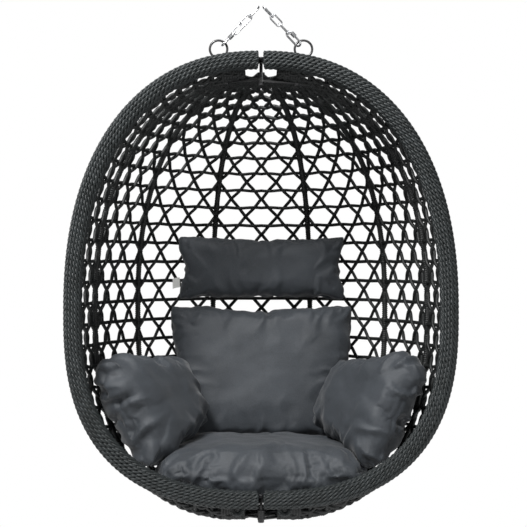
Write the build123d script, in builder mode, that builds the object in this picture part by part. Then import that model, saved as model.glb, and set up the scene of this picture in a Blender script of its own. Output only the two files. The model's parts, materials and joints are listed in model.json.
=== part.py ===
"""Hanging egg chair basket that folds like a fan, with its two chains and five loose cushions.

Frame: +X to the right as seen from the front, +Y to the back of the basket, +Z up.
The origin is the hang point, where a stand's hook passes through the top link of both chains.
The basket's rim stands in the plane y = 0, and the ribs turn about a vertical axis just behind it.
All sizes are millimetres and degrees.
"""

import os
from math import asin, cos, degrees, hypot, radians, sin, sqrt

from build123d import *

os.makedirs("parts", exist_ok=True)

# Driving dimensions ---------------------------------------------------------------------------

# Basket envelope
BASKET_WIDTH = 950.0  # across the outside of the rim
RIM_RISE = 628.0  # widest level up to the outside of the rim's top
RIM_DROP = 474.0  # widest level down to the outside of the rim's bottom
BASKET_DEPTH = 650.0  # fold axis to the middle of the back ribs
RIB_INSET = 35.0  # the ribs' top lies this far under the middle of the rim's top
RIB_LOWER = 62.0  # the ribs' belly lies this far under the middle of the rim's bottom
UPPER_POWER = 2.3  # superellipse powers of the outline over and under the widest level
LOWER_POWER = 2.6
HUB_RISE_RADIUS = 210.0  # inside this radius the ribs climb from the belly to the bottom hub
HUB_RISE = 24.0

# Rim: a steel tube and a thin rod inside a band of woven wicker
BAND_WIDTH = 44.0  # in the rim's plane
BAND_DEPTH = 50.0  # front to back
BAND_CORNER = 17.0
BAND_GAP = 20.0  # between the two bands, at the top and at the bottom
RIM_TUBE_R = 11.0
RIM_TUBE_WALL = 1.5
RIM_ROD_R = 3.0
RIM_ROD_IN = 11.0  # the rod's place: from the tube's middle towards the basket's middle, and back
RIM_ROD_BACK = 15.0
WEAVE_CLEARANCE = 0.3

# Ribs
RIBS_PER_SIDE = 3
RIB_ROD_R = 6.0
RIB_WRAP_R = 10.0
ROD_START = 88.0  # radius where a rib's round rod begins
ARM_LAP = 6.0  # how far the middle of its flattened end's tip lies inside the rod
ARM_TIP_R = 5.0  # a little less than the rod, which takes in the tip
WRAP_INSET = 62.0  # length of rod left bare at each end of its wicker wrap
HUB_EASE = 120.0  # length over which a rib leaves the level of its own arm

# Hubs
FOLD_Y = 20.0  # the fold axis lies this far behind the rim's plane
PIN_R = 4.0
PIN_CLEARANCE = 0.08
EYE_R = 9.0
RIM_LUG_THICK = 4.0
RIM_LUG_GAP = 1.0
RIM_LUG_REACH = 30.0
ARM_THICK = 3.0
ARM_PITCH = 3.8
TOP_ARM_DROP = 51.0  # outside of the rim's top down to the highest arm
BOTTOM_ARM_DROP = 8.0  # outside of the rim's bottom down to the highest arm of the lower hub
HEAD_R = 6.5
HEAD_HEIGHT = 5.3
WASHER_R = 8.0
WASHER_THICK = 1.6
STACK_GAP = 0.4

# Net between the ribs
NET_THICK = 4.0
NET_START = 104.0  # radius where the net begins
NET_GAP = 1.5  # to the ribs and the rim band
NET_ROWS = 13
NET_COLUMNS = 5

# Eye rings on the rim and foot loops under it
EYE_RING_R = 21.0  # to the middle of its wire
EYE_WIRE_R = 2.75
EYE_RING_X = 102.0
EYE_RING_UP = 4.0  # the ring's middle over the outside of the rim's top
FOOT_LOOP_R = 12.0
FOOT_WIRE_R = 7.0
FOOT_LOOP_X = 57.0

# Chains
CHAIN_WIRE_R = 2.0
CHAIN_PITCH = 28.0
CHAIN_BEND_R = 7.0  # to the middle of the wire
LINKS_PER_CHAIN = 3
LINK_CLEARANCE = 1.5
QUICK_WIRE_R = 2.5
QUICK_BEND_R = 8.5
QUICK_LENGTH = 44.0  # between the middles of its two end bends' wires
QUICK_GAP = 8.0  # opening in the quick link's leg, and how far its middle is over the leg's middle
QUICK_GAP_UP = 6.5
RING_CLEARANCE = 3.0
TOP_LINK_GAP = 7.0  # between the two top links, where the stand's hook goes
NUT_LENGTH = 12.5
NUT_ACROSS_FLATS = 9.0
NUT_CLEARANCE = 0.08

# Cushions: width, height and thickness as they lie or stand, and the share of their size at each face
SEAT_SIZE = (540.0, 376.0, 124.0)
BACK_SIZE = (492.0, 384.0, 104.0)
HEAD_SIZE = (462.0, 170.0, 86.0)
SIDE_SIZE = (300.0, 285.0, 100.0)
SEAT_CORNER = 180.0
CUSHION_CORNER = 45.0
FACE_SHARE = 0.8
SEAT_UNDER_SHARE = 0.5

# Worked-out places ----------------------------------------------------------------------------

SIDES = {"left": -1, "right": 1}
LINK_LENGTH = CHAIN_PITCH + 2 * CHAIN_WIRE_R + LINK_CLEARANCE
QUICK_START = EYE_RING_R - EYE_WIRE_R - QUICK_WIRE_R - RING_CLEARANCE
FIRST_LINK_START = QUICK_START + QUICK_LENGTH - QUICK_WIRE_R - CHAIN_WIRE_R - LINK_CLEARANCE
CHAIN_REACH = FIRST_LINK_START + (LINKS_PER_CHAIN - 1) * CHAIN_PITCH + LINK_LENGTH
CHAIN_SPREAD = EYE_RING_X - TOP_LINK_GAP / 2 - CHAIN_WIRE_R
EYE_RING_Z = -sqrt(CHAIN_REACH**2 - CHAIN_SPREAD**2)
RIM_TOP_Z = EYE_RING_Z - EYE_RING_UP
WIDEST_Z = RIM_TOP_Z - RIM_RISE
RIM_BOTTOM_Z = WIDEST_Z - RIM_DROP
RIM_RADIUS = (BASKET_WIDTH - BAND_WIDTH) / 2
RIM_UP = RIM_RISE - BAND_WIDTH / 2
RIM_DOWN = RIM_DROP - BAND_WIDTH / 2
RIB_UP = RIM_UP - RIB_INSET
RIB_DOWN = RIM_DOWN + RIB_LOWER
BAY_ANGLE = 180.0 / (2 * RIBS_PER_SIDE + 1)
RIB_NAMES = ["inner", "middle", "outer"]
RIB_ANGLES = [BAY_ANGLE * (k + 0.5) for k in range(RIBS_PER_SIDE)]
TOP_LUG_Z = RIM_TOP_Z - BAND_WIDTH / 2
BOTTOM_LUG_Z = RIM_BOTTOM_Z + BAND_WIDTH / 2
ARMS = 2 * RIBS_PER_SIDE


def save(shape, name):
    """Label a finished piece and write it under its node's name."""
    shape.label = name
    export_step(shape, f"parts/{name}.step")


# Shape of the basket --------------------------------------------------------------------------


def reach(angle):
    """Radius of the rib surface at its widest level, at an angle from the back."""
    a = radians(angle)
    return 1 / hypot(sin(a) / RIM_RADIUS, cos(a) / BASKET_DEPTH)


def outline(radius, up, down, turn):
    """Radius and height of a superellipse outline; turn is 0 at its top and 180 at its foot."""
    t = radians(turn)
    power = UPPER_POWER if turn <= 90 else LOWER_POWER
    height = abs(cos(t)) ** (2 / power)
    return radius * abs(sin(t)) ** (2 / power), WIDEST_Z + (up * height if turn <= 90 else -down * height)


def spread_turns(radius, start, count):
    """Evenly spread turns of an outline, from radius start over its middle to radius start under it."""
    first = degrees(asin((start / radius) ** (UPPER_POWER / 2)))
    last = 180 - degrees(asin((start / radius) ** (LOWER_POWER / 2)))
    return [first + (last - first) * k / (count - 1) for k in range(count)]


def belly_rise(turn, r):
    """How far the ribs climb towards the bottom hub."""
    return HUB_RISE * (1 - r / HUB_RISE_RADIUS) ** 2 if turn > 90 and r < HUB_RISE_RADIUS else 0.0


def place(angle, r, z):
    """A point at an angle about the fold axis, 0 at the back and 90 on the right."""
    return Vector(r * sin(radians(angle)), FOLD_Y + r * cos(radians(angle)), z)


def across(path):
    """The plane across the start of a path."""
    return Plane(origin=path @ 0, z_dir=path % 0)


# Rim: tube with its lugs, rod, woven band, eye ring and foot loop, for each side -----------------

RIM_POINTS = 17


def rim_path(side, start, inward=0.0, back=0.0):
    """Line along half the rim from its top round to its bottom, or beside it by inward and back."""
    radius = RIM_RADIUS - inward
    turns = spread_turns(radius, start, RIM_POINTS)
    points = [outline(radius, RIM_UP - inward, RIM_DOWN - inward, turn) for turn in turns]
    return Spline([(side * r, back, z) for r, z in points])


def rim_lug(side, level):
    """Flat lug from the end of the rim tube to its eye on the fold axis."""
    with BuildPart() as lug:
        with BuildSketch(Plane.XY.offset(level - RIM_LUG_THICK / 2)):
            with Locations((0, FOLD_Y)):
                Circle(EYE_R)
            with Locations((side * RIM_LUG_REACH, 0)):
                Circle(EYE_R)
            make_hull()
            with Locations((0, FOLD_Y)):
                Circle(PIN_R + PIN_CLEARANCE, mode=Mode.SUBTRACT)
        extrude(amount=RIM_LUG_THICK)
    return lug.part


LUG_LEVEL = {"left": (RIM_LUG_THICK + RIM_LUG_GAP) / 2, "right": -(RIM_LUG_THICK + RIM_LUG_GAP) / 2}


def sweep_round(line, radius, bore=0.0):
    """Round bar or tube along a line."""
    with BuildPart() as bar:
        with BuildLine() as path:
            add(line)
        with BuildSketch(across(path.line)):
            Circle(radius)
            if bore:
                Circle(bore, mode=Mode.SUBTRACT)
        sweep()
    return bar.part


def eye_ring_plane(side):
    return Plane(origin=(side * EYE_RING_X, 0, EYE_RING_Z), z_dir=(0, 1, 0))


for name, side in SIDES.items():
    with BuildPart() as rim_tube:
        add(sweep_round(rim_path(side, RIM_LUG_REACH), RIM_TUBE_R, RIM_TUBE_R - RIM_TUBE_WALL))
        add(rim_lug(side, TOP_LUG_Z + LUG_LEVEL[name]))
        add(rim_lug(side, BOTTOM_LUG_Z + LUG_LEVEL[name]))
    save(rim_tube.part, f"rim_tube_{name}")

    rod_line = rim_path(side, RIM_LUG_REACH + EYE_R, RIM_ROD_IN, RIM_ROD_BACK)
    with BuildPart() as rim_rod:
        add(sweep_round(rod_line, RIM_ROD_R))
    save(rim_rod.part, f"rim_rod_{name}")

    with BuildPart(eye_ring_plane(side)) as eye_ring:
        Torus(EYE_RING_R, EYE_WIRE_R)
    save(eye_ring.part, f"eye_ring_{name}")

    with BuildPart() as rim_band:
        with BuildLine() as path:
            rim_path(side, BAND_GAP / 2)
        with BuildSketch(Plane(origin=path.line @ 0, x_dir=(0, 1, 0), z_dir=path.line % 0)):
            RectangleRounded(BAND_DEPTH, BAND_WIDTH, BAND_CORNER)
        sweep()
        tube_room = sweep_round(rim_path(side, BAND_GAP / 2), RIM_TUBE_R + WEAVE_CLEARANCE)
        add(tube_room, mode=Mode.SUBTRACT)
        add(sweep_round(rod_line, RIM_ROD_R + WEAVE_CLEARANCE), mode=Mode.SUBTRACT)
        for lug_z in (TOP_LUG_Z, BOTTOM_LUG_Z):
            with Locations((side * RIM_LUG_REACH / 2, FOLD_Y / 2, lug_z + LUG_LEVEL[name])):
                lug_room = 2 * WEAVE_CLEARANCE
                Box(
                    RIM_LUG_REACH + 2 * EYE_R + lug_room,
                    FOLD_Y + 2 * EYE_R + lug_room,
                    RIM_LUG_THICK + lug_room,
                    mode=Mode.SUBTRACT,
                )
        with Locations(eye_ring_plane(side).location):
            Torus(EYE_RING_R, EYE_WIRE_R + WEAVE_CLEARANCE, mode=Mode.SUBTRACT)
    save(rim_band.part, f"rim_band_{name}")

    loop_top = RIM_BOTTOM_Z - WEAVE_CLEARANCE
    with BuildPart(Plane(origin=(side * FOOT_LOOP_X, 0, loop_top), z_dir=(0, 1, 0))) as foot_loop:
        Torus(FOOT_LOOP_R, FOOT_WIRE_R)
        split(bisect_by=Plane.XY.offset(loop_top), keep=Keep.BOTTOM)
    save(foot_loop.part, f"foot_loop_{name}")


# Ribs: a bent rod with flattened eyes, and its woven wrap ----------------------------------------

RIB_POINTS = 19


def rib_line(angle, top_arm_z, bottom_arm_z):
    """Middle line of a rib, from its arm of the top hub round to its arm of the bottom hub."""
    radius = reach(angle)
    points = []
    for turn in spread_turns(radius, ROD_START, RIB_POINTS):
        r, z = outline(radius, RIB_UP, RIB_DOWN, turn)
        z += belly_rise(turn, r)
        ease = max(0.0, 1 - (r - ROD_START) / HUB_EASE) ** 2
        z += ((top_arm_z if turn < 90 else bottom_arm_z) - z) * ease
        points.append(place(angle, r, z))
    return Spline(points)


def arm(angle, level):
    """Flattened end of a rib, from its rod to its eye on the fold axis."""
    with BuildPart() as flat:
        with BuildSketch(Plane.XY.offset(level - ARM_THICK / 2)):
            with Locations((0, FOLD_Y)):
                Circle(EYE_R)
            with Locations(place(angle, ROD_START + ARM_LAP, 0)):
                Circle(ARM_TIP_R)
            make_hull()
            with Locations((0, FOLD_Y)):
                Circle(PIN_R + PIN_CLEARANCE, mode=Mode.SUBTRACT)
        extrude(amount=ARM_THICK)
    return flat.part


for index, (name, side) in enumerate(SIDES.items()):
    for k, rib_name in enumerate(RIB_NAMES):
        angle = side * RIB_ANGLES[k]
        drop = (2 * k + index) * ARM_PITCH
        top_arm_z = RIM_TOP_Z - TOP_ARM_DROP - drop
        bottom_arm_z = RIM_BOTTOM_Z - BOTTOM_ARM_DROP - drop

        line = rib_line(angle, top_arm_z, bottom_arm_z)
        with BuildPart() as rib:
            add(sweep_round(line, RIB_ROD_R))
            add(arm(angle, top_arm_z))
            add(arm(angle, bottom_arm_z))
        save(rib.part, f"rib_{rib_name}_{name}")

        bare = WRAP_INSET / line.length
        with BuildPart() as rib_wrap:
            add(sweep_round(line.trim(bare, 1 - bare), RIB_WRAP_R, RIB_ROD_R + WEAVE_CLEARANCE))
        save(rib_wrap.part, f"rib_wrap_{rib_name}_{name}")


# Hubs: a pivot pin through all the eyes, held by a washer and a nut -------------------------------

for name, lug_z, arm_drop, rim_z in (
    ("top", TOP_LUG_Z, TOP_ARM_DROP, RIM_TOP_Z),
    ("bottom", BOTTOM_LUG_Z, BOTTOM_ARM_DROP, RIM_BOTTOM_Z),
):
    under_head = lug_z + RIM_LUG_THICK + RIM_LUG_GAP / 2 + STACK_GAP
    washer_top = rim_z - arm_drop - (ARMS - 1) * ARM_PITCH - ARM_THICK / 2 - STACK_GAP
    nut_top = washer_top - WASHER_THICK
    pin_length = under_head - nut_top + HEAD_HEIGHT

    with BuildPart(Plane(origin=(0, FOLD_Y, under_head))) as pivot_pin:
        Cylinder(HEAD_R, HEAD_HEIGHT, align=(Align.CENTER, Align.CENTER, Align.MIN))
        fillet(pivot_pin.edges().group_by(Axis.Z)[-1], HEAD_HEIGHT / 3)
        Cylinder(PIN_R, pin_length, align=(Align.CENTER, Align.CENTER, Align.MAX))
    save(pivot_pin.part, f"{name}_pivot_pin")

    with BuildPart(Plane(origin=(0, FOLD_Y, nut_top))) as washer:
        Cylinder(WASHER_R, WASHER_THICK, align=(Align.CENTER, Align.CENTER, Align.MIN))
        Hole(PIN_R + PIN_CLEARANCE)
    save(washer.part, f"{name}_washer")

    with BuildPart() as nut:
        with BuildSketch(Plane(origin=(0, FOLD_Y, nut_top))):
            RegularPolygon(HEAD_R, 6, major_radius=False)
            Circle(PIN_R, mode=Mode.SUBTRACT)
        extrude(amount=-HEAD_HEIGHT)
    save(nut.part, f"{name}_nut")


# Net panels between the ribs -----------------------------------------------------------------------

# Bays from the back round to the rim: name, angle of its back edge, angle of its front edge
BAYS = [("back", 0.0, RIB_ANGLES[0])]
BAYS += [(f"side_{k}", RIB_ANGLES[k - 1], RIB_ANGLES[k]) for k in range(1, RIBS_PER_SIDE)]
BAYS += [("front", RIB_ANGLES[-1], 90.0)]


def net_edge(angle, r, toward_front):
    """Angle where a bay's net ends at radius r, beside the rib, rim or middle at the given angle."""
    gap = NET_GAP if angle == 0 else RIB_WRAP_R + NET_GAP
    if angle == 90:
        gap = BAND_DEPTH / 2 + NET_THICK / 2 + NET_GAP - FOLD_Y
    shift = degrees(asin(gap / r))
    return angle - shift if toward_front else angle + shift


def net_point(side, back, front, turn, share):
    """A point of the net; share runs from the bay's back edge to its front edge."""
    angle = back + (front - back) * share
    to_rim = max(0.0, (angle - RIB_ANGLES[-1]) / (90 - RIB_ANGLES[-1]))
    up = RIB_UP + RIB_INSET * to_rim**2
    down = RIB_DOWN - RIB_LOWER * to_rim**2
    r, z = outline(reach(angle), up, down, turn)
    angle = net_edge(back, r, False) + (net_edge(front, r, True) - net_edge(back, r, False)) * share
    return place(side * angle, r, z + belly_rise(turn, r) * (1 - to_rim))


for name, side in SIDES.items():
    for bay, back, front in BAYS:
        rows = spread_turns(RIM_RADIUS, NET_START, NET_ROWS)
        shares = [k / (NET_COLUMNS - 1) for k in range(NET_COLUMNS)]
        grid = [[net_point(side, back, front, turn, share) for share in shares] for turn in rows]
        with BuildPart() as net:
            thicken(Face.make_surface_from_array_of_points(grid), amount=NET_THICK / 2, both=True)
        save(net.part, f"net_{bay}_{name}")


# Chains: a quick link through the eye ring, its sleeve nut, and three links -------------------------


def chain_plane(side, along, roll):
    """Plane at a distance along the chain from the eye ring's middle, with x along the chain."""
    direction = Vector(-side * CHAIN_SPREAD, 0, -EYE_RING_Z).normalized()
    start = Vector(side * EYE_RING_X, 0, EYE_RING_Z) + direction * along
    flat = Vector(0, cos(radians(roll)), 0) + direction.cross(Vector(0, 1, 0)) * sin(radians(roll))
    return Plane(origin=start, x_dir=direction, z_dir=direction.cross(flat))


def draw_link(length, bend):
    """Draw a chain link's line along x, from the middle of its lower bend."""
    straight_end = length - bend
    Line((bend, -bend), (straight_end, -bend))
    ThreePointArc((straight_end, -bend), (length, 0), (straight_end, bend))
    Line((straight_end, bend), (bend, bend))
    ThreePointArc((bend, bend), (0, 0), (bend, -bend))


# Roll of the quick link and of each link about the chain's line: 0 is edge-on to the front
LINK_ROLLS = {"left": (192.0, 66.0, -66.0, -8.0), "right": (220.0, -14.0, 88.0, 4.0)}

for name, side in SIDES.items():
    rolls = LINK_ROLLS[name]
    quick_plane = chain_plane(side, QUICK_START, rolls[0])
    gap_x = QUICK_LENGTH / 2 + QUICK_GAP_UP
    with BuildPart() as quick_link:
        with BuildLine(quick_plane) as path:
            draw_link(QUICK_LENGTH, QUICK_BEND_R)
        with BuildSketch(across(path.wire())):
            Circle(QUICK_WIRE_R)
        sweep(path=path.wire())
        with Locations(quick_plane.location * Location((gap_x, QUICK_BEND_R, 0))):
            Box(QUICK_GAP, 4 * QUICK_WIRE_R, 4 * QUICK_WIRE_R, mode=Mode.SUBTRACT)
    save(quick_link.part, f"quick_link_{name}")

    nut_start = quick_plane.location * Location((gap_x - NUT_LENGTH / 2, QUICK_BEND_R, 0))
    with BuildPart() as quick_nut:
        with BuildSketch(Plane(origin=nut_start.position, z_dir=quick_plane.x_dir)):
            RegularPolygon(NUT_ACROSS_FLATS / 2, 6, major_radius=False)
            Circle(QUICK_WIRE_R + NUT_CLEARANCE, mode=Mode.SUBTRACT)
        extrude(amount=NUT_LENGTH)
    save(quick_nut.part, f"quick_link_nut_{name}")

    for k in range(LINKS_PER_CHAIN):
        link_plane = chain_plane(side, FIRST_LINK_START + k * CHAIN_PITCH, rolls[k + 1])
        with BuildPart() as link:
            with BuildLine(link_plane) as path:
                draw_link(LINK_LENGTH, CHAIN_BEND_R)
            with BuildSketch(across(path.wire())):
                Circle(CHAIN_WIRE_R)
            sweep(path=path.wire())
        save(link.part, f"chain_link_{k + 1}_{name}")


# Cushions --------------------------------------------------------------------------------------------

SEAT_MIDDLE = (0.0, 216.0, WIDEST_Z - 408.0)
BACK_MIDDLE = (0.0, 446.0, WIDEST_Z - 189.0)
HEAD_MIDDLE = (0.0, 500.0, WIDEST_Z + 104.0)
SIDE_ANGLE = 55.0
SIDE_RADIUS = 332.0
SIDE_Z = WIDEST_Z - 212.0
SIDE_LEAN = 24.0
SIDE_ROLL = 13.0  # turned in its own plane, so its lower edge follows the belly
BACK_LEAN = 10.0


def cushion(plane, size, corner, under_share):
    """Puffed cushion: full size at the middle of its thickness, and smaller at both faces."""
    width, height, thickness = size
    with BuildPart() as puff:
        for share, level in ((under_share, -0.5), (1.0, 0.0), (FACE_SHARE, 0.5)):
            with BuildSketch(plane.offset(level * thickness)):
                RectangleRounded(width * share, height * share, corner * share)
        loft(ruled=True)
    return puff.part


def upright(middle, angle, lean):
    """Plane of a standing cushion: x across it, y up it, z from its sitter's face to the basket."""
    outward = Vector(sin(radians(angle)), cos(radians(angle)), 0)
    tilt = outward * cos(radians(lean)) - Vector(0, 0, 1) * sin(radians(lean))
    return Plane(origin=middle, x_dir=outward.cross(Vector(0, 0, 1)), z_dir=tilt)


CUSHIONS = {
    "seat_cushion": (Plane(origin=SEAT_MIDDLE), SEAT_SIZE, SEAT_CORNER, SEAT_UNDER_SHARE),
    "back_cushion": (upright(BACK_MIDDLE, 0, BACK_LEAN), BACK_SIZE, CUSHION_CORNER, FACE_SHARE),
    "head_cushion": (upright(HEAD_MIDDLE, 0, 0), HEAD_SIZE, CUSHION_CORNER, FACE_SHARE),
}
for name, side in SIDES.items():
    middle = place(side * SIDE_ANGLE, SIDE_RADIUS, SIDE_Z)
    plane = upright(middle, side * SIDE_ANGLE, SIDE_LEAN).rotated((0, 0, side * SIDE_ROLL))
    CUSHIONS[f"side_cushion_{name}"] = (plane, SIDE_SIZE, CUSHION_CORNER, FACE_SHARE)

for name, form in CUSHIONS.items():
    with BuildPart() as cushion_body:
        add(cushion(*form))
    save(cushion_body.part, name)
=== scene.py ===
"""Looks of the hanging egg chair basket: woven rim, wound ribs, kagome net, cushions and hardware.

Metres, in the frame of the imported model: origin at the hang point, +X right, +Y back, +Z up.
"""

import json
from math import asin, cos, degrees, pi, radians, sin

import bmesh
import bpy
import numpy as np
from mathutils import Matrix, Vector, noise


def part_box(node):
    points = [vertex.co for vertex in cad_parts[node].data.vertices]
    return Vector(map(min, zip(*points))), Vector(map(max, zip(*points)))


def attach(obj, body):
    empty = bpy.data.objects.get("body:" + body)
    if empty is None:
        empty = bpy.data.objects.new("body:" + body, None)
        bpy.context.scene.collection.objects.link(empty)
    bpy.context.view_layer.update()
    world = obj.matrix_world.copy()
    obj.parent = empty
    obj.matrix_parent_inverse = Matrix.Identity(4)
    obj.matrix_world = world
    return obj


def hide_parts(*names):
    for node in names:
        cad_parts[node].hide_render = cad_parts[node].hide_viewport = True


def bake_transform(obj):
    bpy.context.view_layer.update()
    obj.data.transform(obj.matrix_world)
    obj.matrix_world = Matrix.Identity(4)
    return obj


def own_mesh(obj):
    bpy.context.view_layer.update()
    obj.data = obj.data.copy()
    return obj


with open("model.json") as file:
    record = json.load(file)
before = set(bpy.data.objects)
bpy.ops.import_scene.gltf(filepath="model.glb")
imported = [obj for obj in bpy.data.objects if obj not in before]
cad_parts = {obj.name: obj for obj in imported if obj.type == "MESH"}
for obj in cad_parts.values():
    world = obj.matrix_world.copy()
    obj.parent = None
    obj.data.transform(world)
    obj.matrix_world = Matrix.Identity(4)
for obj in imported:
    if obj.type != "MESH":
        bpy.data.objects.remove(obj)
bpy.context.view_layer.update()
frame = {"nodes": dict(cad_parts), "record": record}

SIDES = {"left": -1, "right": 1}
RIB_NAMES = ["inner", "middle", "outer"]

# Sizes of the basket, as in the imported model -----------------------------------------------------

RIM_RISE = 0.628
BASKET_DEPTH = 0.650
RIB_INSET = 0.035
RIB_LOWER = 0.062
UPPER_POWER = 2.3
LOWER_POWER = 2.6
HUB_RISE_RADIUS = 0.210
HUB_RISE = 0.024
BAND_WIDTH = 0.044
BAND_CORNER = 0.017
BAND_GAP = 0.020
ROD_START = 0.088
HUB_EASE = 0.120
ARM_PITCH = 0.0038
TOP_ARM_DROP = 0.051
BOTTOM_ARM_DROP = 0.008
FOLD_Y = 0.020
NET_START = 0.050

band_low, band_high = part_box("rim_band_right")
RIM_TOP_Z = band_high.z
RIM_BOTTOM_Z = band_low.z
BAND_DEPTH = band_high.y - band_low.y
WIDEST_Z = RIM_TOP_Z - RIM_RISE
RIM_RADIUS = band_high.x - BAND_WIDTH / 2
RIM_UP = RIM_RISE - BAND_WIDTH / 2
RIM_DOWN = WIDEST_Z - RIM_BOTTOM_Z - BAND_WIDTH / 2
RIB_UP = RIM_UP - RIB_INSET
RIB_DOWN = RIM_DOWN + RIB_LOWER
BAY_ANGLE = 180 / 7
RIB_ANGLES = [BAY_ANGLE * (k + 0.5) for k in range(3)]


# Shape of the basket --------------------------------------------------------------------------------


def reach(angle):
    """Radius of the rib surface at its widest level, at an angle from the back."""
    return 1 / np.hypot(np.sin(np.radians(angle)) / RIM_RADIUS, np.cos(np.radians(angle)) / BASKET_DEPTH)


def outline(radius, up, down, turn):
    """Radius and height of a superellipse outline; turn is 0 at its top and 180 at its foot."""
    turn = np.asarray(turn, float)
    power = np.where(turn <= 90, UPPER_POWER, LOWER_POWER)
    r = radius * np.abs(np.sin(np.radians(turn))) ** (2 / power)
    height = np.abs(np.cos(np.radians(turn))) ** (2 / power)
    return r, WIDEST_Z + np.where(turn <= 90, up * height, -down * height)


def end_turns(radius, start):
    """The outline's turns where it is start away from the axis, over and under its middle."""
    first = degrees(asin((start / radius) ** (UPPER_POWER / 2)))
    return first, 180 - degrees(asin((start / radius) ** (LOWER_POWER / 2)))


def even_path(points, step):
    """Points evenly spaced along a path, about a step apart; columns after x, y and z go along."""
    steps = np.linalg.norm(np.diff(points[:, :3], axis=0), axis=1)
    run = np.concatenate([[0], np.cumsum(steps)])
    count = max(2, round(run[-1] / step) + 1)
    at = np.linspace(0, run[-1], count)
    return np.stack([np.interp(at, run, column) for column in points.T], axis=1)


def belly_rise(turn, r):
    """How far the ribs climb towards the bottom hub."""
    rise = HUB_RISE * (1 - np.minimum(r / HUB_RISE_RADIUS, 1)) ** 2
    return np.where(np.asarray(turn) > 90, rise, 0)


def place(angle, r, z):
    """Points at an angle about the fold axis, 0 at the back and 90 on the right."""
    a = np.radians(angle)
    x, y, z = np.broadcast_arrays(r * np.sin(a), FOLD_Y + r * np.cos(a), z)
    return np.stack([x, y, z], axis=-1)


# Mesh helpers ----------------------------------------------------------------------------------------


def make_object(name, points, faces, material, smooth=True):
    mesh = bpy.data.meshes.new(name)
    mesh.from_pydata([tuple(p) for p in points], [], [tuple(f) for f in faces])
    mesh.polygons.foreach_set("use_smooth", [smooth] * len(mesh.polygons))
    mesh.materials.append(material)
    mesh.update()
    piece = bpy.data.objects.new(name, mesh)
    bpy.context.collection.objects.link(piece)
    return piece


def path_frames(path, up):
    """Tangent, side and normal at each point of a path, the normal kept near the up vectors."""
    tangent = np.gradient(path, axis=0)
    tangent /= np.linalg.norm(tangent, axis=1)[:, None]
    side = np.cross(tangent, up)
    side /= np.linalg.norm(side, axis=1)[:, None]
    return tangent, side, np.cross(side, tangent)


def tube(path, up, radius, sides=6):
    """Vertices and faces of a closed tube along a path; radius may vary along it and round it."""
    _, side, normal = path_frames(path, up)
    count = len(path)
    turn = np.arange(sides) * 2 * pi / sides
    radius = np.broadcast_to(radius, (count, sides))
    spread = np.cos(turn)[None, :, None] * side[:, None] + np.sin(turn)[None, :, None] * normal[:, None]
    rings = path[:, None] + radius[..., None] * spread
    index = np.arange(count * sides).reshape(count, sides)
    after = np.roll(index, -1, axis=1)
    quads = np.stack([index[:-1], index[1:], after[1:], after[:-1]], axis=-1).reshape(-1, 4)
    caps = [list(index[0]), list(index[-1][::-1])]
    return rings.reshape(-1, 3), [list(q) for q in quads] + caps


class Bundle:
    """Collects tubes into one mesh."""

    def __init__(self):
        self.points = []
        self.faces = []
        self.count = 0

    def add(self, points, faces):
        self.points.append(points)
        self.faces += [[i + self.count for i in face] for face in faces]
        self.count += len(points)

    def build(self, name, material):
        return make_object(name, np.concatenate(self.points), self.faces, material)


# Materials --------------------------------------------------------------------------------------------


class Nodes:
    """A material's node tree with short calls."""

    def __init__(self, name):
        self.material = bpy.data.materials.new(name)
        self.material.use_nodes = True
        self.tree = self.material.node_tree
        self.shader = self.tree.nodes["Principled BSDF"]
        self.object_space = self.add("ShaderNodeTexCoord").outputs["Object"]

    def add(self, kind, inputs=None, **settings):
        node = self.tree.nodes.new(kind)
        for key, value in settings.items():
            setattr(node, key, value)
        for key, value in (inputs or {}).items():
            if isinstance(value, bpy.types.NodeSocket):
                self.tree.links.new(value, node.inputs[key])
            else:
                node.inputs[key].default_value = value
        return node

    def noise(self, scale, detail=3.0, roughness=0.5):
        values = {"Vector": self.object_space, "Scale": scale, "Detail": detail, "Roughness": roughness}
        return self.add("ShaderNodeTexNoise", values).outputs["Fac"]

    def ramp(self, factor, *stops):
        node = self.add("ShaderNodeValToRGB", {"Fac": factor})
        node.color_ramp.elements[0].position, node.color_ramp.elements[0].color = stops[0]
        node.color_ramp.elements[1].position, node.color_ramp.elements[1].color = stops[-1]
        for position, color in stops[1:-1]:
            node.color_ramp.elements.new(position).color = color
        return node.outputs["Color"]

    def math(self, operation, a, b=0.0):
        node = self.add("ShaderNodeMath", {0: a, 1: b}, operation=operation)
        return node.outputs[0]

    def set(self, **values):
        for key, value in values.items():
            socket = self.shader.inputs[key.replace("_", " ")]
            if isinstance(value, bpy.types.NodeSocket):
                self.tree.links.new(value, socket)
            else:
                socket.default_value = value

    def bump(self, height, distance, strength=1.0):
        node = self.add("ShaderNodeBump", {"Height": height, "Distance": distance, "Strength": strength})
        self.tree.links.new(node.outputs["Normal"], self.shader.inputs["Normal"])


def wicker(name, dark, light, scale):
    """Extruded resin strand: streaky colour, fine grain and a dull plastic gloss."""
    nodes = Nodes(name)
    blotches = nodes.noise(scale, 4.0, 0.6)
    grain = nodes.noise(scale * 22, 2.0, 0.7)
    nodes.set(Base_Color=nodes.ramp(blotches, (0.32, dark), (0.72, light)))
    nodes.set(Roughness=nodes.math("MULTIPLY_ADD", grain, 0.25))
    rough = nodes.shader.inputs["Roughness"].links[0].from_node
    rough.inputs[2].default_value = 0.36
    nodes.bump(nodes.math("ADD", grain, nodes.math("MULTIPLY", blotches, 0.5)), 0.0004, 0.6)
    nodes.set(Specular_IOR_Level=0.3)
    return nodes.material


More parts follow.
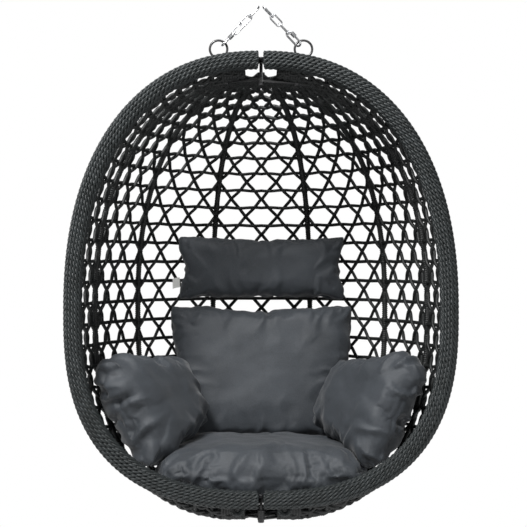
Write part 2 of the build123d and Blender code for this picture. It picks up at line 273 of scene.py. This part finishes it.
def fabric(name, dark, light):
    """Slate polyester: fine plain weave, slight melange and a soft sheen."""
    nodes = Nodes(name)
    melange = nodes.noise(420.0, 2.0, 0.7)
    drift = nodes.noise(7.0, 4.0, 0.6)
    shade = nodes.math("ADD", nodes.math("MULTIPLY", melange, 0.55), nodes.math("MULTIPLY", drift, 0.45))
    nodes.set(Base_Color=nodes.ramp(shade, (0.36, dark), (0.66, light)))
    threads = []
    for direction in ("X", "Y", "Z"):
        wave = nodes.add(
            "ShaderNodeTexWave",
            {"Vector": nodes.object_space, "Scale": 260.0, "Distortion": 0.6, "Detail": 1.0},
            bands_direction=direction,
        )
        threads.append(wave.outputs["Fac"])
    weave = nodes.math("MULTIPLY", nodes.math("MAXIMUM", threads[0], threads[1]), threads[2])
    nodes.bump(nodes.math("ADD", nodes.math("MULTIPLY", weave, 0.5), melange), 0.0006, 0.5)
    nodes.set(Roughness=0.6, Sheen_Weight=0.15, Sheen_Roughness=0.45, Specular_IOR_Level=0.45)
    return nodes.material


def metal(name, dark, light, metallic, roughness, coat):
    """Plated or powder-coated steel with faint mottling and handling wear."""
    nodes = Nodes(name)
    mottle = nodes.noise(90.0, 4.0, 0.6)
    grain = nodes.noise(900.0, 2.0, 0.6)
    nodes.set(Base_Color=nodes.ramp(mottle, (0.35, dark), (0.7, light)), Metallic=metallic, Coat_Weight=coat)
    nodes.set(Roughness=nodes.math("MULTIPLY_ADD", mottle, 0.2))
    rough = nodes.shader.inputs["Roughness"].links[0].from_node
    rough.inputs[2].default_value = roughness
    nodes.bump(grain, 0.0001, 0.35)
    return nodes.material


RIM_WICKER = wicker("rim_wicker", (0.008, 0.010, 0.010, 1), (0.022, 0.026, 0.027, 1), 60.0)
RIB_WICKER = wicker("rib_wicker", (0.006, 0.007, 0.007, 1), (0.015, 0.016, 0.016, 1), 70.0)
NET_WICKER = wicker("net_wicker", (0.005, 0.006, 0.006, 1), (0.012, 0.013, 0.013, 1), 80.0)
CUSHION_FABRIC = fabric("cushion_fabric", (0.014, 0.0175, 0.0215, 1), (0.034, 0.040, 0.048, 1))
LABEL_FABRIC = fabric("label_fabric", (0.50, 0.50, 0.48, 1), (0.66, 0.66, 0.64, 1))
BLACK_STEEL = metal("black_steel", (0.010, 0.010, 0.011, 1), (0.022, 0.022, 0.023, 1), 0.0, 0.28, 0.3)
ZINC_STEEL = metal("zinc_steel", (0.62, 0.63, 0.65, 1), (0.82, 0.83, 0.84, 1), 1.0, 0.16, 0.0)

MATERIAL_OF_SLOT = {
    "cushion_fabric": CUSHION_FABRIC,
    "net_wicker": NET_WICKER,
    "rib_wicker": RIB_WICKER,
    "rim_wicker": RIM_WICKER,
    "black_steel": BLACK_STEEL,
    "zinc_steel": ZINC_STEEL,
}


def dress_cad_nodes():
    """Give every CAD node the material of its slot."""
    for part in frame["record"]["subparts"]:
        node = frame["nodes"][part["node"]]
        for slot in node.material_slots:
            slot.material = MATERIAL_OF_SLOT[part["material_slot"]]


# Rim band: rows of two-ply twisted strand round the band's section ---------------------------------------

ROWS_ROUND_BAND = 17
FRONT_GAP = 0.005
TWIST_PITCH = 0.027
PLY_R = 0.0030
PLY_OFFSET = 0.0023


def band_section(count):
    """Evenly spread points of the band's rounded section, with the way out: inward in x, back in y."""
    half_in = BAND_WIDTH / 2 - PLY_OFFSET - PLY_R
    half_back = BAND_DEPTH / 2 - PLY_OFFSET - PLY_R
    corner = BAND_CORNER - PLY_OFFSET - PLY_R
    loop = []
    for quarter in range(4):
        start = quarter * pi / 2
        middle_in = (half_in - corner) * (1 if quarter in (0, 3) else -1)
        middle_back = (half_back - corner) * (1 if quarter < 2 else -1)
        for a in np.linspace(start, start + pi / 2, 9):
            loop.append((middle_in + corner * cos(a), middle_back + corner * sin(a), 0))
    loop.append(loop[0])
    points = even_path(np.array(loop), 0.0002)
    picked = points[np.linspace(0, len(points) - 1, count + 1).round().astype(int)[:-1]]
    return picked[:, :2]


def rim_rope(side, inward, back):
    """Middle path of one rope row; the gap between the two bands narrows towards the front."""
    radius = RIM_RADIUS - inward
    gap = FRONT_GAP + (BAND_GAP - FRONT_GAP) * (back / BAND_DEPTH + 0.5)
    first, last = end_turns(radius, gap / 2 + PLY_R)
    r, z = outline(radius, RIM_UP - inward, RIM_DOWN - inward, np.linspace(first, last, 400))
    path = np.stack([side * r, np.full_like(r, back), z], axis=1)
    return even_path(path, TWIST_PITCH / 10)


def make_rim_band(name, side):
    bundle = Bundle()
    for row, (inward, back) in enumerate(band_section(ROWS_ROUND_BAND)):
        path = rim_rope(side, inward, back)
        up = np.tile((0.0, 1.0, 0.0), (len(path), 1))
        _, across, normal = path_frames(path, up)
        run = np.arange(len(path)) / 10 * 2 * pi + row * 2.1
        for ply in range(2):
            turn = (run + ply * pi)[:, None]
            twisted = path + PLY_OFFSET * (np.cos(turn) * across + np.sin(turn) * normal)
            bundle.add(*tube(twisted, up, PLY_R))
    piece = bundle.build(f"rim_weave_{name}", RIM_WICKER)
    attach(piece, f"rim_{name}")
    return piece


LOOP_CORE_R = 0.0050
LOOP_STRAND_R = 0.0017
LOOP_WINDS = 11


def make_foot_loop(name):
    """Half ring under the band, wound with a strand."""
    low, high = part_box(f"foot_loop_{name}")
    middle = np.array(((low.x + high.x) / 2, (low.y + high.y) / 2, high.z))
    ring = (high.x - low.x) / 2 - LOOP_CORE_R - LOOP_STRAND_R
    share = np.linspace(0, 1, 24 * LOOP_WINDS)[:, None]
    outward = np.hstack([np.cos(pi * share), 0 * share, -np.sin(pi * share)])
    back = np.tile((0.0, 1.0, 0.0), (len(share), 1))
    wind = 2 * pi * LOOP_WINDS * share
    core = middle + ring * outward
    strand = core + LOOP_CORE_R * (np.cos(wind) * outward + np.sin(wind) * back)
    bundle = Bundle()
    bundle.add(*tube(core, back, LOOP_CORE_R, sides=12))
    bundle.add(*tube(strand, outward, LOOP_STRAND_R))
    piece = bundle.build(f"foot_winding_{name}", RIM_WICKER)
    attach(piece, f"rim_{name}")
    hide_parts(f"foot_loop_{name}")


# Rows of the net, which the ribs' knots follow -------------------------------------------------------

STRAND_R = 0.0047
WEAVE_LIFT = 0.0030
HEXES_PER_BAY = 3
BLEND_SHARE = 0.85
ROW_PITCH = 0.0535
ROW_SHRINK = 0.10
COLLAR_ROWS = 1.5
COLLAR_STEP = 0.17


def net_rows():
    """Turn of the outline against row number, with rows closer together near the hubs."""
    radius = reach(45.0)
    first, last = end_turns(radius, NET_START)
    turn = np.linspace(first, last, 2000)
    r, z = outline(radius, RIB_UP, RIB_DOWN, turn)
    run = np.hypot(np.diff(r), np.diff(z))
    pitch = ROW_PITCH * np.maximum((r[1:] + r[:-1]) / 2 / radius, 0.12) ** ROW_SHRINK
    row = np.concatenate([[0], np.cumsum(run / pitch)])
    return turn, row * round(row[-1]) / row[-1]


NET_TURN, NET_ROW = net_rows()


# Ribs: rod wound with strand -------------------------------------------------------------------------------

WIND_PITCH = 0.011
WIND_STEPS = 8
WRAP_SIDES = 12
WRAP_INSET = 0.012
WIND_R = 0.0078
KNOT_R = 0.0098
KNOT_LENGTH = 0.007


def rib_path(angle, drop, bare):
    """Middle line of a rib between its bare ends, with the net's row number as a fourth column."""
    radius = reach(angle)
    first, last = end_turns(radius, ROD_START)
    turn = np.linspace(first, last, 600)
    r, z = outline(radius, RIB_UP, RIB_DOWN, turn)
    z = z + belly_rise(turn, r)
    level = np.where(turn < 90, RIM_TOP_Z - TOP_ARM_DROP - drop, RIM_BOTTOM_Z - BOTTOM_ARM_DROP - drop)
    z = z + (level - z) * np.maximum(0, 1 - (r - ROD_START) / HUB_EASE) ** 2
    row = np.interp(turn, NET_TURN, NET_ROW)
    path = even_path(np.column_stack([place(angle, r, z), row]), 0.001)
    cut = round(bare / 0.001)
    return path[cut:len(path) - cut]


def make_rib_wrap(name, side, k, index):
    """Strand wound round a rib, thicker where each level strand of the net is knotted to it."""
    angle = side * RIB_ANGLES[k]
    path = even_path(rib_path(angle, (2 * k + index) * ARM_PITCH, WRAP_INSET), WIND_PITCH / WIND_STEPS)
    tangential = np.array((cos(radians(angle)), -sin(radians(angle)), 0.0))
    up = np.tile(tangential, (len(path), 1))
    run = np.arange(len(path))[:, None] / WIND_STEPS * 2 * pi
    round_rib = np.arange(WRAP_SIDES)[None, :] * 2 * pi / WRAP_SIDES
    groove = np.abs(np.sin(run + round_rib / 2))
    off_row = np.abs(path[:, 3] - np.round(path[:, 3])) * ROW_PITCH
    knot = np.exp(-(off_row / KNOT_LENGTH) ** 2)[:, None]
    radius = WIND_R + (KNOT_R - WIND_R) * knot - 0.0024 * (1 - groove ** 0.7)
    bundle = Bundle()
    bundle.add(*tube(path[:, :3], up, radius, WRAP_SIDES))
    piece = bundle.build(f"rib_winding_{RIB_NAMES[k]}_{name}", RIB_WICKER)
    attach(piece, f"rib_{RIB_NAMES[k]}_{name}")
    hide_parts(f"rib_wrap_{RIB_NAMES[k]}_{name}")


# Net: kagome of level strands and two slanted families ------------------------------------------------------

def net_surface(back, front, across, row, lift):
    """Points of a bay's net; across runs from 0 at the bay's back edge to 1 at its front edge."""
    turn = np.interp(row, NET_ROW, NET_TURN)
    angle = back + (front - back) * across
    to_rim = np.clip((np.abs(angle) - RIB_ANGLES[-1]) / (90 - RIB_ANGLES[-1]), 0, 1)
    up = RIB_UP + RIB_INSET * to_rim ** 2
    down = RIB_DOWN - RIB_LOWER * to_rim ** 2
    r, z = outline(reach(angle), up, down, turn)
    z = z + belly_rise(turn, r) * (1 - to_rim)
    edge = np.degrees(np.arcsin(np.clip((BAND_DEPTH / 2 + STRAND_R - FOLD_Y) / r, 0, 1)))
    angle = np.sign(angle) * (np.abs(angle) - edge * np.maximum(0, to_rim) ** 3)
    points = place(angle, r, z)
    outward = points - np.array((0, FOLD_Y, WIDEST_Z))
    outward /= np.linalg.norm(outward, axis=-1)[..., None]
    return points + outward * lift[..., None], outward


def add_strand(bundle, back, front, across, row, lift):
    points, outward = net_surface(back, front, across, row, lift)
    bundle.add(*tube(points, outward, STRAND_R))


def make_net(bay, back, front, span):
    """One bay's net between two ribs; span is the part of the bay's width that this piece covers."""
    bundle = Bundle()
    rows = int(round(NET_ROW[-1]))
    low, high = span
    hexes = HEXES_PER_BAY
    collar = np.arange(COLLAR_STEP, COLLAR_ROWS, COLLAR_STEP)
    for row in (*range(rows + 1), *collar, *(rows - collar)):
        across = np.linspace(low, high, max(3, round((high - low) * hexes * 12)))
        lift = WEAVE_LIFT * np.cos(2 * pi * (across * hexes - row / 2 - 0.25))
        add_strand(bundle, back, front, across, np.full_like(across, row), lift)
    for slant in (1, -1):
        for start in range(-rows, hexes + rows + 1):
            row = np.linspace(0, rows, rows * 12 + 1)
            across = (slant * row / 2 + start + 0.25 * slant) / hexes
            inside = (across >= low) & (across <= high)
            if inside.sum() < 4:
                continue
            row, across = row[inside], across[inside]
            add_strand(bundle, back, front, across, row, -slant * WEAVE_LIFT * np.cos(2 * pi * row))
    piece = bundle.build(f"kagome_{bay}", NET_WICKER)
    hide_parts(f"net_{bay}")
    edges = [back + (front - back) * share for share in span]
    start, end = (tuple(place(edge, BLEND_SHARE * reach(edge), WIDEST_Z)) for edge in edges)
    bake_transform(piece)


def make_nets():
    for name, side in SIDES.items():
        a, b, c = (side * angle for angle in RIB_ANGLES)
        make_net(f"back_{name}", -a, a, (0.5, 1.0))
        make_net(f"side_1_{name}", a, b, (0.0, 1.0))
        make_net(f"side_2_{name}", b, c, (0.0, 1.0))
        make_net(f"front_{name}", c, side * 90, (0.0, 1.0))


# Cushions ------------------------------------------------------------------------------------------------


def cushion_frame(node, angle, lean):
    """Matrix of a standing cushion at its CAD node's middle: x across, y down, z out of its back."""
    low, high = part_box(node)
    outward = Vector((sin(radians(angle)), cos(radians(angle)), 0))
    back = outward * cos(radians(lean)) - Vector((0, 0, 1)) * sin(radians(lean))
    across = outward.cross(Vector((0, 0, 1)))
    matrix = Matrix((across, back.cross(across), back)).transposed().to_4x4()
    matrix.translation = (low + high) / 2
    return matrix


def pillow_mesh(name, matrix, size, roundness, pinch, crown, slump):
    """Closed pillow: two crowned faces that meet in a seam.

    Roundness draws the corners in, from 0, square, to 1, an ellipse, and pinch draws in the sides between them.
    Slump lowers the top towards +x, or towards -x if it is negative, and a third as much of the bottom rises there.
    """
    width, height, thickness = size
    columns, rows = 60, 48
    u, v = np.meshgrid(np.linspace(-1, 1, columns), np.linspace(-1, 1, rows), indexing="ij")
    points = []
    for face in (1, -1):
        x = u * width / 2 * np.sqrt(1 - roundness * v ** 2 / 2) * (1 - pinch * (1 - v ** 2))
        y = v * height / 2 * np.sqrt(1 - roundness * u ** 2 / 2) * (1 - pinch * (1 - u ** 2))
        fallen = abs(slump) * ((1 + np.sign(slump) * u) / 2) ** 2
        y *= 1 - fallen * np.where(v < 0, 1, 1 / 3)
        bulge = ((1 - u ** 4) * (1 - v ** 4)) ** crown
        points.append(np.stack([x, y, face * bulge * thickness / 2], axis=-1).reshape(-1, 3))
    index = np.arange(columns * rows).reshape(columns, rows)
    quads = np.stack([index[:-1, :-1], index[1:, :-1], index[1:, 1:], index[:-1, 1:]], axis=-1).reshape(-1, 4)
    faces = [list(q) for q in quads] + [list(q[::-1] + columns * rows) for q in quads]
    piece = make_object(name, np.concatenate(points), faces, CUSHION_FABRIC)
    piece.data.transform(matrix)
    return piece


VOXEL = 0.006
CLOTH_FRAMES = 18
CLOTH_GROWTH = -0.05
CLOTH_CAP = 0.014


def baked(piece):
    """Replace a piece's mesh with its evaluated one and drop its modifiers."""
    graph = bpy.context.evaluated_depsgraph_get()
    mesh = bpy.data.meshes.new_from_object(piece.evaluated_get(graph))
    piece.modifiers.clear()
    piece.data = mesh
    mesh.polygons.foreach_set("use_smooth", [True] * len(mesh.polygons))


def coordinates(mesh):
    points = np.empty(len(mesh.vertices) * 3)
    mesh.vertices.foreach_get("co", points)
    return points.reshape(-1, 3)


def inflate(piece, cap):
    """Puff a pillow by cloth simulation, with no point moved further than cap, and leave it smooth."""
    remesh = piece.modifiers.new("remesh", "REMESH")
    remesh.mode = "VOXEL"
    remesh.voxel_size = VOXEL
    baked(piece)
    start = coordinates(piece.data)
    cloth = piece.modifiers.new("cloth", "CLOTH")
    cloth.settings.quality = 4
    cloth.settings.mass = 0.25
    cloth.settings.tension_stiffness = 12
    cloth.settings.compression_stiffness = 12
    cloth.settings.bending_stiffness = 0.25
    cloth.settings.use_pressure = True
    cloth.settings.uniform_pressure_force = 4.0
    cloth.settings.shrink_min = CLOTH_GROWTH
    cloth.settings.effector_weights.gravity = 0.0
    cloth.point_cache.frame_start = 1
    cloth.point_cache.frame_end = CLOTH_FRAMES
    for step in range(1, CLOTH_FRAMES + 1):
        bpy.context.scene.frame_set(step)
    baked(piece)
    moved = coordinates(piece.data) - start
    length = np.linalg.norm(moved, axis=1)[:, None]
    moved *= np.minimum(1, cap / np.maximum(length, 1e-9))
    piece.data.vertices.foreach_set("co", (start + moved).ravel())
    bpy.context.scene.frame_set(1)


FOLD_SPACING = 0.055
FOLD_REACH = 0.065


def add_creases(piece, matrix, size, depth, seed):
    """Folds that run in from the seam and fade, over a slow unevenness of the filling."""
    inverse = matrix.inverted()
    width, height, _ = size
    normals = np.empty(len(piece.data.vertices) * 3)
    piece.data.vertex_normals.foreach_get("vector", normals)
    normals = normals.reshape(-1, 3)
    points = coordinates(piece.data)
    for i, point in enumerate(points):
        local = inverse @ Vector(point)
        from_side = max(0.0, width / 2 - abs(local.x))
        from_end = max(0.0, height / 2 - abs(local.y))
        seam = min(from_side, from_end)
        along = local.y if from_side < from_end else local.x
        face = 5.0 if local.z > 0 else 0.0
        wander = noise.noise(local * 14 + Vector((0, 0, seed)))
        spot = Vector((along / FOLD_SPACING + 0.8 * wander, seam * 9, seed + face))
        ridge = max(-0.4, 1 - 3.6 * abs(noise.noise(spot)))
        reach_in = FOLD_REACH * (1.2 + noise.noise(Vector((along * 12, seed, face))))
        fold = ridge * np.exp(-((seam / reach_in) ** 2)) * min(1.0, seam / 0.008)
        lump = noise.fractal(local * 8 + Vector((seed, 0, 0)), 1.0, 2.0, 3)
        points[i] += normals[i] * depth * (fold + 0.6 * lump)
    piece.data.vertices.foreach_set("co", points.ravel())


def finish_cushion(piece, node):
    smooth = piece.modifiers.new("smooth", "SUBSURF")
    smooth.levels = smooth.render_levels = 1
    baked(piece)
    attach(piece, "hub")
    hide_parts(node)
    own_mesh(piece)


def make_cushion(node, matrix, size, seed, roundness=0.2, pinch=0.04, crown=0.5, slump=0.0, depth=0.006):
    piece = pillow_mesh(f"{node}_cover", matrix, size, roundness, pinch, crown, slump)
    inflate(piece, CLOTH_CAP)
    add_creases(piece, matrix, size, depth, seed)
    finish_cushion(piece, node)
    return piece


SIDE_ANGLE = 55.0
SIDE_LEAN = 24.0
SIDE_ROLL = 13.0
BACK_LEAN = 10.0
SIDE_SETTLE = 0.020


def make_cushions():
    seat_low, seat_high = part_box("seat_cushion")
    seat = Matrix.Translation((seat_low + seat_high) / 2)
    make_cushion("seat_cushion", seat, (0.552, 0.400, 0.122), 3.0, roundness=0.5, crown=0.45, depth=0.011)
    back = cushion_frame("back_cushion", 0, BACK_LEAN)
    make_cushion("back_cushion", back, (0.506, 0.392, 0.104), 7.0, roundness=0.12, depth=0.007)
    head = cushion_frame("head_cushion", 0, 0)
    make_cushion("head_cushion", head, (0.464, 0.176, 0.084), 11.0, roundness=0.08, pinch=0.06)
    for seed, (name, side) in enumerate(SIDES.items()):
        matrix = cushion_frame(f"side_cushion_{name}", side * SIDE_ANGLE, SIDE_LEAN)
        roll = Matrix.Rotation(radians(side * SIDE_ROLL), 4, "Z")
        matrix = Matrix.Translation((0, 0, -SIDE_SETTLE)) @ matrix @ roll
        shape = {"roundness": 0.35, "slump": -0.62 * side, "depth": 0.011}
        make_cushion(f"side_cushion_{name}", matrix, (0.325, 0.312, 0.104), 17.0 + 5 * seed, **shape)
    make_label(head)


LABEL_SIZE = (0.020, 0.028, 0.0008)


def make_label(head):
    """Blank folded label sewn into the headrest's left seam."""
    width, height, thickness = LABEL_SIZE
    low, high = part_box("head_cushion")
    half = (high.x - low.x) / 2
    mesh = bmesh.new()
    bmesh.ops.create_cube(mesh, size=1.0)
    bmesh.ops.subdivide_edges(mesh, edges=mesh.edges[:], cuts=3, use_grid_fill=True)
    for vertex in mesh.verts:
        x, y, z = vertex.co
        droop = -0.004 * (0.5 - x) ** 2
        vertex.co = (-half - width * 0.35 + x * width, 0.040 + y * height - droop, -0.012 + z * thickness)
    data = bpy.data.meshes.new("head_label")
    mesh.to_mesh(data)
    mesh.free()
    data.materials.append(LABEL_FABRIC)
    data.transform(head)
    piece = bpy.data.objects.new("head_label", data)
    bpy.context.collection.objects.link(piece)
    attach(piece, "hub")
    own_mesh(piece)


# Camera, lights and floor ----------------------------------------------------------------------------------

CAMERA_DISTANCE = 3.0
VIEW_WIDTH = 1.267
VIEW_Z = -0.617
FLOOR_Z = -1.60
FLOOR_HALF = 1.5
AMBIENT = 0.22


def make_stage():
    scene = bpy.context.scene
    camera_data = bpy.data.cameras.new("camera")
    camera_data.sensor_width = 36.0
    camera_data.lens = camera_data.sensor_width * CAMERA_DISTANCE / VIEW_WIDTH
    camera = bpy.data.objects.new("camera", camera_data)
    camera.location = (0.006, -CAMERA_DISTANCE, VIEW_Z)
    camera.rotation_euler = (pi / 2, 0, 0)
    scene.collection.objects.link(camera)
    scene.camera = camera

    floor_material = bpy.data.materials.new("pale_floor")
    floor_material.use_nodes = True
    floor_shader = floor_material.node_tree.nodes["Principled BSDF"]
    floor_shader.inputs["Base Color"].default_value = (0.92, 0.92, 0.92, 1)
    floor_shader.inputs["Roughness"].default_value = 0.9
    corners = [(x * FLOOR_HALF, y * FLOOR_HALF, FLOOR_Z) for x, y in ((-1, -1), (1, -1), (1, 1), (-1, 1))]
    make_object("floor", corners, [(0, 1, 2, 3)], floor_material, smooth=False)

    world = bpy.data.worlds.new("studio")
    world.use_nodes = True
    tree = world.node_tree
    light_on_object = tree.nodes["Background"]
    light_on_object.inputs["Color"].default_value = (1.0, 1.0, 1.0, 1)
    light_on_object.inputs["Strength"].default_value = AMBIENT
    white = tree.nodes.new("ShaderNodeBackground")
    white.inputs["Color"].default_value = (1.0, 1.0, 1.0, 1)
    rays = tree.nodes.new("ShaderNodeLightPath")
    mix = tree.nodes.new("ShaderNodeMixShader")
    tree.links.new(rays.outputs["Is Camera Ray"], mix.inputs[0])
    tree.links.new(light_on_object.outputs[0], mix.inputs[1])
    tree.links.new(white.outputs[0], mix.inputs[2])
    tree.links.new(mix.outputs[0], tree.nodes["World Output"].inputs["Surface"])
    scene.world = world

    for name, place_at, size, power in (
        ("key", (-1.1, -1.9, 1.7), 0.8, 195.0),
        ("fill", (2.2, -2.4, -0.2), 1.6, 32.0),
        ("top", (0.2, -0.2, 1.9), 1.4, 40.0),
    ):
        light_data = bpy.data.lights.new(name, "AREA")
        light_data.energy = power
        light_data.size = size
        light = bpy.data.objects.new(name, light_data)
        light.location = place_at
        light.rotation_euler = (Vector((0, 0.1, VIEW_Z)) - Vector(place_at)).to_track_quat("-Z", "Y").to_euler()
        scene.collection.objects.link(light)
    scene.view_settings.view_transform = "Standard"


# Whole object --------------------------------------------------------------------------------------------------

dress_cad_nodes()
for index, (name, side) in enumerate(SIDES.items()):
    weave = make_rim_band(name, side)
    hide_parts(f"rim_band_{name}")
    make_foot_loop(name)
    for k in range(3):
        make_rib_wrap(name, side, k, index)
make_nets()
make_cushions()
make_stage()
